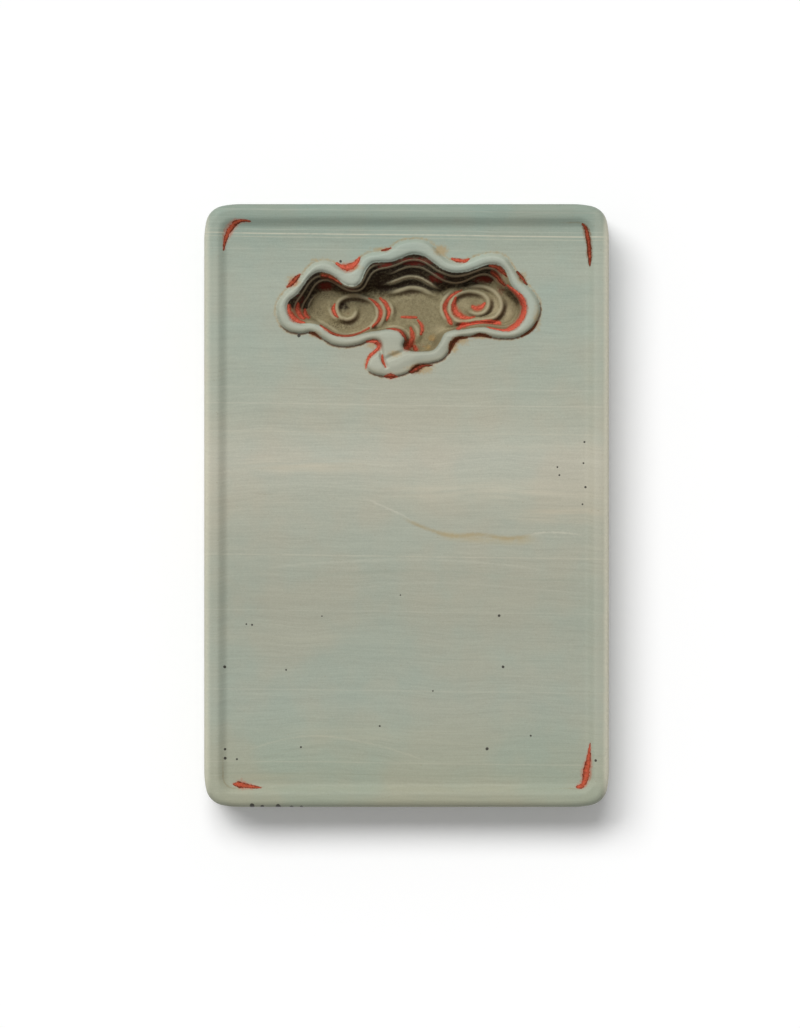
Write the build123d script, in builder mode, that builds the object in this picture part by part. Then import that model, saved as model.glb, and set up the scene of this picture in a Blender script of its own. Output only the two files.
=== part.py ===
import os
from math import atan2, cos, hypot, pi, radians, sin, sqrt

from build123d import *

os.makedirs("parts", exist_ok=True)

# An ink stone: one block of bedded stone with a rim round a flat grinding field, and near its far
# end a cloud-shaped ink pool inside a raised, rolled lip. The pool's wall goes down in terraces that
# crowd together in front and spread out at the back, and two whorls are carved on its floor. Dried
# red pigment is left in the corners of the rim, in the hollows of the lip's foot and in the pool.
# The origin is at the middle of the underside, +Y towards the pool's end, +Z up.

# The block
stone_wide = 98.0
stone_long = 146.0
stone_thick = 15.0
side_curve = 22.0
corner_curve = 4.9
side_curve_turn = 12.0
top_round = 2.0
base_round = 1.5

# The sunk underside
foot_wide = 8.0
foot_rise = 1.0
foot_corner = 4.0

# The rim and the grinding field
rim_wide = 4.6
field_sink = 1.3
field_corner = 2.8
rim_round = 0.8

# The cloud: how wide it is, how far its top lies from the rim, its lip and its pool
cloud_wide = 64.0
cloud_gap = 4.0
lip_below_rim = 0.1
lip_round = 0.75
pool_sink = 6.5
ridge_wide = 1.1
ridge_high = 0.8
ridge_root = 0.3
ridge_ease = 0.35

# The dried pigment
pigment_thick = 0.3
corner_pigment_wide = 1.6
corner_pigment_long = 6.0
floor_pigment_wide = 0.8
foot_pigment_hollows = [1, 4, 6, 7, 8, 10]
foot_pigment_wides = [1.3, 0.7, 0.7, 1.0, 1.2, 1.0]
left_terrace_pigment_wides = [0.7, 0.8, 0.9]
right_terrace_pigment_wide = 0.4
right_terrace_lobe = 5

# The lobes of the cloud, clockwise from the left: where each one's circle lies from the middle of
# the cloud's top, its radius, and the radius of the arc that joins it to the next lobe. A joining
# arc above zero is a hollow between two lobes, one below zero a flatter bulge over both.
# All are shares of the cloud's width.
lip_lobe_shares = [
    (-0.420, -0.260, 0.074, 0.160),
    (-0.320, -0.167, 0.088, 0.046),
    (-0.117, -0.112, 0.061, 0.150),
    (0.039, -0.091, 0.091, 0.140),
    (0.324, -0.129, 0.078, 0.150),
    (0.3975, -0.258, 0.1055, -0.455),
    (0.369, -0.275, 0.106, 0.160),
    (0.221, -0.326, 0.047, 0.045),
    (0.092, -0.398, 0.070, 0.060),
    (-0.041, -0.461, 0.057, -0.228),
    (-0.1015, -0.467, 0.049, 0.020),
    (-0.1375, -0.325, 0.060, 0.228),
    (-0.231, -0.292, 0.112, 0.120),
    (-0.405, -0.285, 0.074, -0.228),
]
pool_lobe_shares = [
    (-0.401, -0.254, 0.051, 0.080),
    (-0.3235, -0.1915, 0.068, 0.060),
    (-0.105, -0.140, 0.057, 0.150),
    (0.031, -0.129, 0.076, 0.220),
    (0.323, -0.148, 0.055, 0.080),
    (0.369, -0.266, 0.084, 0.220),
    (0.190, -0.298, 0.047, 0.028),
    (0.084, -0.383, 0.042, -0.304),
    (0.012, -0.397, 0.030, 0.045),
    (-0.105, -0.279, 0.066, 0.500),
    (-0.231, -0.272, 0.102, 0.110),
    (-0.401, -0.274, 0.051, -0.304),
]
floor_lobe_shares = [
    (-0.322, -0.243, 0.046, 0.114),
    (-0.295, -0.258, 0.068, 0.090),
    (-0.120, -0.250, 0.057, 0.190),
    (0.028, -0.262, 0.080, 0.228),
    (0.278, -0.228, 0.068, -0.228),
    (0.358, -0.258, 0.059, 0.500),
    (0.176, -0.284, 0.044, 0.048),
    (0.058, -0.380, 0.040, -0.304),
    (0.035, -0.391, 0.029, 0.053),
    (-0.098, -0.269, 0.061, 0.500),
    (-0.227, -0.247, 0.102, 0.600),
    (-0.310, -0.252, 0.053, -0.228),
]
# How far each terrace has come from the pool's mouth towards its floor, and the most of a wall's
# height that a rounded edge takes
terrace_shares = [0.0, 0.20, 0.42, 0.70, 1.0]
round_share = 0.9

# The whorls on the pool's floor, from the heart outwards: where each ridge starts, the way it sets
# off, and its bends, each with its radius as a share of the cloud's width and how far it turns
left_whorl_share = (-0.193, -0.262)
left_whorl_bends = [(0.0353, -180), (0.0455, -70), (0.1214, -50), (0.0512, -90), (0.1139, -40)]
right_whorl_share = (0.2287, -0.2429)
right_whorl_bends = [
    (0.041, 180), (0.0417, 75), (0.137, 40), (0.051, 150), (0.455, 12), (0.0645, 130), (0.114, 40),
]
pool_middle_share = (0.0, -0.25)

# Where the dried pigment lies: along how much of each terrace's left lobe, and the streaks on the
# pool's floor, each from its start, by its middle, to its end, as shares of the cloud's width
left_terrace_stretch_shares = (0.45, 1.0)
left_whorl_streak_shares = [
    ((-0.120, -0.226), (-0.0945, -0.278), (-0.122, -0.330)),
    ((-0.092, -0.218), (-0.064, -0.262), (-0.076, -0.302)),
    ((-0.272, -0.232), (-0.286, -0.264), (-0.262, -0.294)),
]
right_whorl_streak_shares = [
    ((0.186, -0.190), (0.140, -0.252), (0.160, -0.316)),
    ((0.181, -0.230), (0.192, -0.276), (0.247, -0.292)),
    ((0.248, -0.252), (0.270, -0.264), (0.290, -0.246)),
]
tail_streak_shares = [
    ((0.013, -0.328), (0.030, -0.368), (0.012, -0.406)),
]

# Heights and places that follow from these
field_top = stone_thick - field_sink
field_wide = stone_wide - 2 * rim_wide
field_long = stone_long - 2 * rim_wide
cloud_top = field_long / 2 - cloud_gap
lip_rise = field_sink - lip_below_rim
lip_top = field_top + lip_rise
pool_floor = field_top - pool_sink
terrace_drop = (lip_top - pool_floor) / len(terrace_shares)
lip_rounding = min(lip_round, round_share * lip_rise)
rim_rounding = min(rim_round, round_share * field_sink)


def on_stone(point):
    """A point of the cloud, from its shares to its place on the stone."""
    return (point[0] * cloud_wide, cloud_top + point[1] * cloud_wide)


def towards(centre, point, radius):
    """The point that lies on the circle round the centre, on its way to another point."""
    reach = hypot(point[0] - centre[0], point[1] - centre[1])
    return tuple(c + (p - c) * radius / reach for c, p in zip(centre, point))


def joint_centre(lobe, following):
    """The centre of the arc that touches two neighbouring lobes."""
    x1, y1, radius1, joint = lobe
    x2, y2, radius2, _ = following
    apart = hypot(x2 - x1, y2 - y1)
    reach1 = abs(radius1 + joint)
    reach2 = abs(radius2 + joint)
    along = (reach1**2 - reach2**2 + apart**2) / (2 * apart)
    aside = sqrt(reach1**2 - along**2) * (1 if joint > 0 else -1)
    across = ((x2 - x1) / apart, (y2 - y1) / apart)
    return (x1 + across[0] * along - across[1] * aside, y1 + across[1] * along + across[0] * aside)


def arc_points(centre, radius, start, end, clockwise):
    """Start, middle and end of an arc that runs one way round its centre."""
    first = atan2(start[1] - centre[1], start[0] - centre[0])
    turn = atan2(end[1] - centre[1], end[0] - centre[0]) - first
    turn = turn % (2 * pi) - (2 * pi if clockwise else 0)
    half = first + turn / 2
    return start, (centre[0] + radius * cos(half), centre[1] + radius * sin(half)), end


def cloud_arcs(shares):
    """The cloud's outline as arcs that run smoothly into each other: lobe, joint, lobe, joint."""
    lobes = [on_stone(row) + (row[2] * cloud_wide, row[3] * cloud_wide) for row in shares]
    joints = [joint_centre(lobe, lobes[(i + 1) % len(lobes)]) for i, lobe in enumerate(lobes)]
    touches = []
    for i, lobe in enumerate(lobes):
        following = lobes[(i + 1) % len(lobes)]
        leave = towards(lobe[:2], joints[i], lobe[2] * (1 if lobe[3] > 0 else -1))
        enter = towards(following[:2], joints[i], following[2] * (1 if lobe[3] > 0 else -1))
        touches.append((leave, enter))
    arcs = []
    for i, lobe in enumerate(lobes):
        arcs.append(arc_points(lobe[:2], lobe[2], touches[i - 1][1], touches[i][0], True))
        arcs.append(arc_points(joints[i], abs(lobe[3]), *touches[i], lobe[3] < 0))
    return arcs


def fill_cloud(shares):
    """Fills the cloud's outline in the sketch at hand."""
    with BuildLine() as outline:
        for arc in cloud_arcs(shares):
            ThreePointArc(*arc)
    make_face(outline.edges())


def mixed(share):
    """The lobes of the outline that lies part of the way from the pool's mouth to its floor."""
    rows = []
    for mouth, floor in zip(pool_lobe_shares, floor_lobe_shares):
        row = [a + (b - a) * share for a, b in zip(mouth[:3], floor[:3])]
        row.append(1 / (1 / mouth[3] + (1 / floor[3] - 1 / mouth[3]) * share))
        rows.append(tuple(row))
    return rows


def ridge_bank(heart, bends, aside):
    """One bank of a whorl's ridge, beside its middle line: draws it, and gives both ends' headings."""
    point = Vector(*heart) + Vector(1, 0) * aside
    heading = Vector(0, -1)
    ends = [(point, heading)]
    for radius_share, turn in bends:
        radius = radius_share * cloud_wide - (aside if turn > 0 else -aside)
        bend = JernArc(point, heading, radius, turn)
        point = bend @ 1
        heading = bend % 1
    ends.append((point, heading))
    return ends


def stretch(arc, first_share, last_share):
    """Part of an arc, between two shares of its length."""
    edge = ThreePointArc(*arc, mode=Mode.PRIVATE)
    return [edge @ share for share in (first_share, (first_share + last_share) / 2, last_share)]


def crescent(arc, wide):
    """A crescent with its back on an arc, that swells towards the inside of the arc's curve."""
    start, middle, end = (Vector(*point) for point in arc)
    inward = ((start + end) * 0.5 - middle).normalized()
    with BuildLine() as outline:
        ThreePointArc(start, middle, end)
        ThreePointArc(end, middle + inward * wide, start)
    make_face(outline.edges())


def streak(points, wide):
    """A crescent on the pool's floor, from three of its places as shares of the cloud's width."""
    crescent([on_stone(point) for point in points], wide)


# The ridges of the two whorls, rooted in the pool's floor
with BuildPart() as whorl_ridges:
    for heart_share, bends in (
        (left_whorl_share, left_whorl_bends),
        (right_whorl_share, right_whorl_bends),
    ):
        with BuildSketch(Plane.XY.offset(pool_floor - ridge_root)):
            with BuildLine():
                heart = on_stone(heart_share)
                outer_bank = ridge_bank(heart, bends, ridge_wide / 2)
                inner_bank = ridge_bank(heart, bends, -ridge_wide / 2)
                for (near, heading), (far, _), ahead in zip(outer_bank, inner_bank, (-1, 1)):
                    tip = (near + far) / 2 + heading * ahead * ridge_wide / 2
                    ThreePointArc(near, tip, far)
            make_face()
        extrude(amount=ridge_root + ridge_high)
        crown = whorl_ridges.faces(Select.LAST).sort_by(Axis.Z)[-1]
        chamfer(crown.outer_wire().edges(), length=ridge_ease)

# The stone: a block whose corners ease in from the sides, hollowed for the grinding field, with the
# lip left standing on the field and the pool sunk inside it, one terrace after another
corner_reach = (
    side_curve * sin(radians(side_curve_turn))
    + corner_curve * (cos(radians(side_curve_turn)) - sin(radians(side_curve_turn)))
    + side_curve * (1 - cos(radians(side_curve_turn)))
)

with BuildPart() as stone_block:
    with BuildSketch():
        with BuildLine():
            Line((stone_wide / 2, 0), (stone_wide / 2, stone_long / 2 - corner_reach))
            ease_in = JernArc(
                (stone_wide / 2, stone_long / 2 - corner_reach), (0, 1), side_curve, side_curve_turn
            )
            bend = JernArc(ease_in @ 1, ease_in % 1, corner_curve, 90 - 2 * side_curve_turn)
            ease_out = JernArc(bend @ 1, bend % 1, side_curve, side_curve_turn)
            Line(ease_out @ 1, (0, stone_long / 2))
            mirror(about=Plane.YZ)
            mirror(about=Plane.XZ)
        make_face()
    extrude(amount=stone_thick)
    fillet(stone_block.edges().group_by(Axis.Z)[-1], radius=top_round)
    fillet(stone_block.edges().group_by(Axis.Z)[0], radius=base_round)

    with BuildSketch():
        RectangleRounded(stone_wide - 2 * foot_wide, stone_long - 2 * foot_wide, radius=foot_corner)
    extrude(amount=foot_rise, mode=Mode.SUBTRACT)

    with BuildSketch(Plane.XY.offset(stone_thick)):
        RectangleRounded(field_wide, field_long, radius=field_corner)
    extrude(amount=-field_sink, mode=Mode.SUBTRACT)
    rim_crown = stone_block.faces().sort_by(Axis.Z)[-1]
    fillet(rim_crown.inner_wires()[0].edges(), radius=rim_rounding)

    with BuildSketch(Plane.XY.offset(field_top)):
        fill_cloud(lip_lobe_shares)
    extrude(amount=lip_rise)
    lip_crown = stone_block.faces(Select.LAST).sort_by(Axis.Z)[-1]
    fillet(lip_crown.outer_wire().edges(), radius=lip_rounding)

    # The mouth's arcs run into each other, so rounding one of them rounds them all
    with BuildSketch(Plane.XY.offset(lip_top)):
        fill_cloud(pool_lobe_shares)
    extrude(amount=-terrace_drop, mode=Mode.SUBTRACT)
    pool_middle = Vector(*on_stone(pool_middle_share), lip_top)
    lip_edges = stone_block.edges().group_by(Axis.Z)[-2]
    fillet(lip_edges.sort_by_distance(pool_middle)[0], radius=lip_rounding)

    # Each further terrace is sunk from the one above
    for step, share in enumerate(terrace_shares[1:], start=1):
        with BuildSketch(Plane.XY.offset(lip_top - step * terrace_drop)):
            fill_cloud(mixed(share))
        extrude(amount=-terrace_drop, mode=Mode.SUBTRACT)
    add(whorl_ridges.part)

# Pigment dried in the four corners between the rim and the field
with BuildPart() as red_pigment_rim_corners:
    with BuildSketch(Plane.XY.offset(field_top)):
        with BuildLine():
            corner = Vector(field_wide / 2, field_long / 2)
            bend = corner - Vector(1, 1) * field_corner * (1 - cos(radians(45)))
            inner = bend - Vector(1, 1) * corner_pigment_wide * cos(radians(45))
            along_x = corner - Vector(corner_pigment_long, 0)
            along_y = corner - Vector(0, corner_pigment_long)
            Line(along_x, corner - Vector(field_corner, 0))
            ThreePointArc(corner - Vector(field_corner, 0), bend, corner - Vector(0, field_corner))
            Line(corner - Vector(0, field_corner), along_y)
            ThreePointArc(along_y, inner, along_x)
        make_face()
        mirror(about=Plane.YZ)
        mirror(about=Plane.XZ)
    extrude(amount=pigment_thick)

# Pigment dried in the hollows at the foot of the lip
with BuildPart() as red_pigment_lip_foot:
    with BuildSketch(Plane.XY.offset(field_top)):
        for hollow, wide in zip(foot_pigment_hollows, foot_pigment_wides):
            crescent(cloud_arcs(lip_lobe_shares)[2 * hollow + 1], wide)
    extrude(amount=pigment_thick)

# Pigment dried on the terraces, against the wall above each
with BuildPart() as red_pigment_left_terraces:
    for step, wide in enumerate(left_terrace_pigment_wides):
        lobe = cloud_arcs(mixed(terrace_shares[step]))[-2]
        with BuildSketch(Plane.XY.offset(lip_top - (step + 1) * terrace_drop)):
            crescent(stretch(lobe, *left_terrace_stretch_shares), wide)
        extrude(amount=pigment_thick)

with BuildPart() as red_pigment_right_terrace:
    with BuildSketch(Plane.XY.offset(lip_top - terrace_drop)):
        lobe = cloud_arcs(pool_lobe_shares)[2 * right_terrace_lobe]
        crescent(lobe, right_terrace_pigment_wide)
    extrude(amount=pigment_thick)

# Pigment dried on the pool's floor, beside the ridges of the whorls and in the tail
with BuildPart() as red_pigment_left_whorl:
    with BuildSketch(Plane.XY.offset(pool_floor)):
        for points in left_whorl_streak_shares:
            streak(points, floor_pigment_wide)
    extrude(amount=pigment_thick)
    add(whorl_ridges.part, mode=Mode.SUBTRACT)

with BuildPart() as red_pigment_right_whorl:
    with BuildSketch(Plane.XY.offset(pool_floor)):
        for points in right_whorl_streak_shares:
            streak(points, floor_pigment_wide)
    extrude(amount=pigment_thick)
    add(whorl_ridges.part, mode=Mode.SUBTRACT)

with BuildPart() as red_pigment_tail:
    with BuildSketch(Plane.XY.offset(pool_floor)):
        for points in tail_streak_shares:
            streak(points, floor_pigment_wide)
    extrude(amount=pigment_thick)

nodes = {
    "stone_block": stone_block,
    "red_pigment_rim_corners": red_pigment_rim_corners,
    "red_pigment_lip_foot": red_pigment_lip_foot,
    "red_pigment_left_terraces": red_pigment_left_terraces,
    "red_pigment_right_terrace": red_pigment_right_terrace,
    "red_pigment_left_whorl": red_pigment_left_whorl,
    "red_pigment_right_whorl": red_pigment_right_whorl,
    "red_pigment_tail": red_pigment_tail,
}
for name, piece in nodes.items():
    piece.part.label = name
    export_step(piece.part, f"parts/{name}.step")
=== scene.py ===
import bpy
import mathutils
import numpy as np
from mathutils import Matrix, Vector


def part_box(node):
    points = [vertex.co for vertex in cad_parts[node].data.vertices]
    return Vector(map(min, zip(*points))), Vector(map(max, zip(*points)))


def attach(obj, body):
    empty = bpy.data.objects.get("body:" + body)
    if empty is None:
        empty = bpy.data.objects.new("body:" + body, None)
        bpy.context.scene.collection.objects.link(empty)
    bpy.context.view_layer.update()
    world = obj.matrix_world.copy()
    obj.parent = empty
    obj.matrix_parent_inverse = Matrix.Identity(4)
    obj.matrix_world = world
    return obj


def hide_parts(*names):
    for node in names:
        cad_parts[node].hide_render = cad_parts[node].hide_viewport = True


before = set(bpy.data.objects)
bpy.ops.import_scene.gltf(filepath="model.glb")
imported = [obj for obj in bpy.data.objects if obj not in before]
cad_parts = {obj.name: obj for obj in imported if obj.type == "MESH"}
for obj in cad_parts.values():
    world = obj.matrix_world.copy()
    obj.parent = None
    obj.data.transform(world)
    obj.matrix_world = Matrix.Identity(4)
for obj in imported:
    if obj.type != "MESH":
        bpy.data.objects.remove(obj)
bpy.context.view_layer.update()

# The stone. One block of pale grey-green stone with fine beds across its length, rubbed smooth. The
# rim, the grinding field and the cloud-shaped ink pool with its rolled lip, its ledges and its two
# whorls are all cut into it from above, so it is one closed surface.
mm = 0.001
_, block_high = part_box("stone_block")
half_wide, half_long, block_top = np.array(block_high) / mm
field_top = 13.7
field_wave = 0.04
rim_wide = 4.6
rim_slope = 2.8
rim_foot_reach = 1.2
field_corner = 2.8
side_bends = [(22.0, 12), (4.9, 33)]
edge_round = 2.0
base_round = 1.5
foot_wide = 8.0
foot_rise = 1.0
foot_corner = 4.0
lip_top = 14.9
lip_foot_roll = 0.95
lip_mouth_roll = 0.95
lip_mouth_drop = 0.75
lip_shoulder_drop = 0.35
lip_shoulder_wide = 2.2
pool_floor = 7.2
tread_reach = 0.8
riser_reach = 0.22
ledge_step = 0.6
whorl_half = 1.2
whorl_swell = 1.05
whorl_hollow = 0.35
lip_lee_way = (0.5, -0.87)
whorl_lee_way = (0.62, -0.78)
cell = 1.6
fine_steps = 8
ring_steps = 2

photo_middle = (405.75, 505.25)
pixel = 2 * half_wide / 403.5

lip_outside_px = [
    (275.5, 311), (278.5, 300), (287, 290), (297, 282), (304.5, 272), (312, 264.3), (322, 261), (332, 263),
    (340, 268.5), (348, 271.3), (355, 266.5), (360, 258.5), (368, 253.7), (379, 252), (389, 248.8),
    (398, 242.5), (410, 240), (423, 240.5), (432, 245.5), (440, 254.5), (448.5, 261), (459, 263),
    (470, 259), (482, 254.7), (495, 253.8), (505, 258), (512, 268), (520, 279.5), (530, 289.5),
    (537, 300.5), (539, 311), (535.5, 322), (527, 332), (515, 338), (502, 339), (490, 337.5), (480, 335),
    (470, 336.5), (459, 338), (452, 343), (448, 352), (441, 360), (430, 363.5), (418, 365.5),
    (408, 372.5), (396, 376.5), (382, 376.5), (370.5, 373), (365.3, 366), (368, 358), (375, 352),
    (379.5, 346), (376.5, 341), (369, 341), (358, 345), (345, 347), (332, 345), (321, 338.5),
    (311, 332.8), (300, 334), (288, 331.5), (279.5, 324),
]
pool_mouth_px = [
    (286.3, 309), (288.5, 301), (296, 295), (302, 287), (308.5, 278), (317, 272.5), (326, 273), (335, 278),
    (344, 285), (353, 286.8), (360, 282), (364.5, 271.5), (370.5, 264), (379, 262.3), (390, 262),
    (400, 258.5), (411, 254.5), (422, 256), (432, 262.3), (442, 269.5), (453, 272.7), (465, 272),
    (476, 268.5), (487, 264.8), (498, 265.5), (505.5, 272.5), (510, 284), (517, 293.5), (524, 303),
    (525, 313), (519.5, 324), (510, 331), (498, 331), (486, 328.5), (475, 328.7), (463, 330.5),
    (452, 331), (444, 334.5), (439.5, 343), (432.5, 351), (421, 352), (408, 351.5), (401.5, 347),
    (403.3, 339), (399, 332), (389, 330), (378, 331.5), (367, 333.3), (356, 336.5), (345, 337.5),
    (333, 334.5), (323, 328), (313, 324.7), (301, 324.5), (291.5, 319.5),
]
pool_floor_px = [
    (309, 308), (311.5, 300), (317, 293.5), (326, 290), (336, 291.5), (345, 295), (355, 296), (364, 293.5),
    (373, 291), (385, 292), (398, 290), (412, 288), (425, 290.5), (437, 293), (449, 289), (461, 285),
    (474, 282), (486, 282.5), (496, 288), (507, 296), (514, 303), (516, 310), (512.5, 318),
    (505, 322.5), (495, 322.5), (480, 321.5), (465, 324), (452, 327.5), (440, 330), (433, 337),
    (430, 345), (423, 350), (413, 350), (407.5, 345), (408.5, 337), (403.5, 329), (393, 325.8),
    (380, 328.5), (368, 328), (357, 331.5), (346, 333), (334, 330.5), (324, 324.5), (315, 319), (310, 314),
]
# A fold at the back of the pool's floor
back_fold_px = [
    (378, 284.5), (387, 283.3), (395, 281), (403, 278), (411, 276.8), (419, 278.3), (427, 282.5),
    (435, 287),
]
# The edges of the ledges down the pool's wall
ledges_px = [
    [(295, 314), (293.8, 309), (295.5, 303), (300, 296.5), (304, 290.5), (309, 283), (316, 277.5),
     (325, 277), (335, 281.5), (343, 286), (351, 288), (358, 286.5), (362.5, 281), (366, 274),
     (370, 268.5), (377, 265.5), (388, 265)],
    [(304, 318.5), (300.8, 312), (302.5, 304), (307, 296.5), (311, 289.5), (315, 284), (320, 280.8),
     (326, 280), (333, 282.3), (341, 287.3), (349, 290.5), (357, 290.5), (363, 287), (367, 280.5),
     (371.5, 273.5), (378, 269.8), (387, 268), (396, 265.5), (404, 262), (412, 260.5), (420, 261.5),
     (428, 265.5), (436, 271), (444, 274.5), (453, 276.5), (463, 275.5), (474, 272), (483, 268.8),
     (490, 268.8), (496, 271.5), (501, 277.5), (506, 285), (512, 292), (518, 299.5), (520, 308),
     (518, 316), (512.5, 322.5), (505, 325.8), (495, 325.5), (485, 324.3), (475, 325), (466, 327),
     (458, 329)],
    [(310.5, 316), (307.5, 309), (309, 302), (314, 295.5), (320, 291)],
    [(383, 274.3), (391, 273.3), (399, 270), (406, 267.6), (413, 267), (421, 268.3), (429, 272.5),
     (437, 277.5), (445, 281), (454, 282.5), (463, 281), (471, 277.5), (479, 274.7), (486, 274.3),
     (492, 277), (496.5, 282), (501, 287.5)],
    back_fold_px + [(443, 289.3)],
]
# The raised lines of the whorls and the tail scroll, each with how high it stands
whorls_px = [
    (0.75, [(299, 318.8), (305, 321.3), (313, 322.3), (320, 324), (327, 329), (336, 333), (346, 334.3),
            (356, 332.8), (365, 329), (372, 323.5), (376.3, 316), (376, 308), (372, 301), (364, 296.8),
            (354, 295), (345, 296), (338, 300.5), (335.7, 307), (337.5, 313.5), (342, 317.5),
            (348, 318.3), (353, 315.5), (355, 310.5), (352.5, 306)]),
    (0.5, [(329.5, 300.5), (328.5, 307), (331, 314), (336, 318.3), (343, 319.5)]),
    (0.6, [(372, 296.5), (378, 300), (382, 306), (383.3, 313), (381, 320), (376, 326), (368, 330.5)]),
    (0.6, [(382, 295.5), (387.5, 301), (390.8, 308), (390.5, 315), (387.5, 321.5)]),
    (0.45, [(310, 314.5), (316, 319), (323, 323), (330, 327.3), (338, 331), (347, 331.8)]),
    (0.75, [(466, 305), (469, 310.5), (476, 313.3), (483, 311.8), (487.3, 306.5), (487.5, 299.5),
            (483, 294), (475, 291), (466, 290.5), (457, 293.5), (451.3, 299.5), (449, 307),
            (451, 314.5), (456, 319.5), (464, 321), (474, 319.5), (484, 318.8), (493, 317),
            (499, 311.5), (501, 304), (498, 295.5), (491, 289), (481, 285.5), (470, 286), (461, 289)]),
    (0.5, [(447, 325.5), (455, 322.5), (464, 320.8)]),
    (0.6, [(458, 287.5), (450, 291.5), (444, 298), (440.8, 306), (442, 313.5), (446, 320), (448, 326)]),
    (0.6, [(378, 329.3), (386, 326.7), (394, 326.3), (402, 328.8), (407, 333.5), (409, 339.5), (407, 345)]),
    (0.5, [(405, 322.5), (412, 324), (416.5, 329), (417, 336), (414, 342)]),
    (0.4, back_fold_px + [(445, 290)]),
    (0.8, [(374, 292.5), (391, 291.5), (400, 289.5), (408, 287.3), (414, 287.2), (422, 289), (430, 292.8),
           (440, 297.5)]),
]
# The grooves on the lip round the tongue, each with its depth and half its width in millimetres
grooves_px = [
    (0.9, 0.9, [(375, 343), (380, 348.5), (381, 356), (383, 362), (386.5, 369)]),
    (0.6, 1.0, [(408, 350.5), (401, 353), (395, 355.5), (389, 358), (383, 361)]),
    (0.35, 1.9, [(378, 375), (397, 372), (408, 367), (420, 361.5), (435, 358), (446, 349), (450, 338)]),
]


def on_stone(points_px):
    """Places of the photograph, in millimetres on the stone."""
    return (np.array(points_px) - photo_middle) * (pixel, -pixel)


def smooth_line(points_px, closed=False, steps=6):
    """A curve through places read from the photograph, in millimetres on the stone. A third value
    of a place is a width, also in pixels."""
    rows = np.array(points_px, float)
    rows[:, :2] = (rows[:, :2] - photo_middle) * (1, -1)
    rows *= pixel
    if closed:
        posts = np.vstack([rows[-1:], rows, rows[:2]])
    else:
        posts = np.vstack([2 * rows[:1] - rows[1:2], rows, 2 * rows[-1:] - rows[-2:-1]])
    line = []
    for a, b, c, d in zip(posts, posts[1:], posts[2:], posts[3:]):
        for t in np.arange(steps) / steps:
            bend = 2 * a - 5 * b + 4 * c - d + t * (3 * (b - c) + d - a)
            line.append(b + 0.5 * t * (c - a + t * bend))
    if not closed:
        line.append(rows[-1])
    return np.array(line)


def nearest(places, line, closed=False):
    """How far each place lies from a line, at which of the line's steps it is nearest, and the way
    there from the line."""
    starts = line[:, :2] if closed else line[:-1, :2]
    runs = np.roll(line[:, :2], -1, 0) - line[:, :2] if closed else np.diff(line[:, :2], axis=0)
    lengths = (runs**2).sum(1)
    apart = np.empty(len(places))
    along = np.empty(len(places))
    away = np.empty((len(places), 2))
    for first in range(0, len(places), 4000):
        part = slice(first, first + 4000)
        offset = places[part, None] - starts
        share = np.clip((offset * runs).sum(2) / lengths, 0, 1)
        offset -= share[..., None] * runs
        gap = np.hypot(offset[..., 0], offset[..., 1])
        pick = gap.argmin(1)
        rows = np.arange(len(pick))
        apart[part] = gap[rows, pick]
        along[part] = pick + share[rows, pick]
        away[part] = offset[rows, pick] / np.maximum(apart[part], 1e-6)[:, None]
    return apart, along, away


def depth_inside(places, outline):
    """How deep each place lies inside a closed outline, below zero outside it."""
    x, y = places.T
    within = np.zeros(len(places), bool)
    for (x1, y1), (x2, y2) in zip(outline, np.roll(outline, -1, 0)):
        if y1 != y2:
            within ^= ((y1 > y) != (y2 > y)) & (x < (x2 - x1) * (y - y1) / (y2 - y1) + x1)
    apart, _, _ = nearest(places, outline, closed=True)
    return np.where(within, apart, -apart)


def ease(value):
    """Rises smoothly from 0 to 1 as the value does."""
    value = np.clip(value, 0, 1)
    return value * value * (3 - 2 * value)


def rolled(value):
    """Rises from 0 to 1 as a quarter of a circle."""
    return np.sqrt(1 - (1 - np.clip(value, 0, 1)) ** 2)


def taper_of(line, along, reach, how=ease):
    """Rises from 0 at both ends of a line to 1, over a number of the line's steps."""
    return how(np.minimum(along, len(line) - 1 - along) / reach)


def patches(places, size, seed):
    """Uneven patches of about one size, from -1 to 1."""
    table = np.random.default_rng(seed).uniform(-1, 1, (64, 64))
    spot = places / size
    base = np.floor(spot).astype(int)
    u, v = ease(spot - base).T
    i, j = (base % 64).T
    i2, j2 = (i + 1) % 64, (j + 1) % 64
    low = table[i, j] * (1 - u) + table[i2, j] * u
    high = table[i, j2] * (1 - u) + table[i2, j2] * u
    return low * (1 - v) + high * v


def field_gap(places):
    """How far outside the grinding field each place lies, below zero on it."""
    inset = rim_wide + field_corner
    corner = np.abs(places) - (half_wide - inset, half_long - inset)
    return np.linalg.norm(np.maximum(corner, 0), axis=1) + np.minimum(corner.max(1), 0) - field_corner


lip_outside = smooth_line(lip_outside_px, closed=True)
pool_mouth = smooth_line(pool_mouth_px, closed=True)
pool_foot = smooth_line(pool_floor_px, closed=True)


def wall_share(places, mouth=None):
    """How far each place has come from the pool's mouth to its floor, from 0 to 1."""
    mouth = depth_inside(places, pool_mouth) if mouth is None else mouth
    foot = -depth_inside(places, pool_foot)
    return np.where(foot <= 0, 1, np.clip(mouth / np.maximum(mouth + foot, 0.001), 0, 1))


def lee_of(places, depth):
    """How far the lip's outside faces away from the lamp beside each place, from 0 to 1."""
    _, _, away = nearest(places, lip_outside, closed=True)
    return ease(0.45 - 0.75 * np.sign(depth) * (away @ lip_lee_way))


def near(places, line, reach):
    """Which places could lie within reach of a line."""
    low, high = line[:, :2].min(0) - reach, line[:, :2].max(0) + reach
    return np.flatnonzero(((places > low) & (places < high)).all(1))


def close_to(places, line, reach):
    """Which places could lie within reach of a line, and what nearest() gives for them."""
    picked = near(places, line, reach)
    return (picked, *nearest(places[picked], line))


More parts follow.
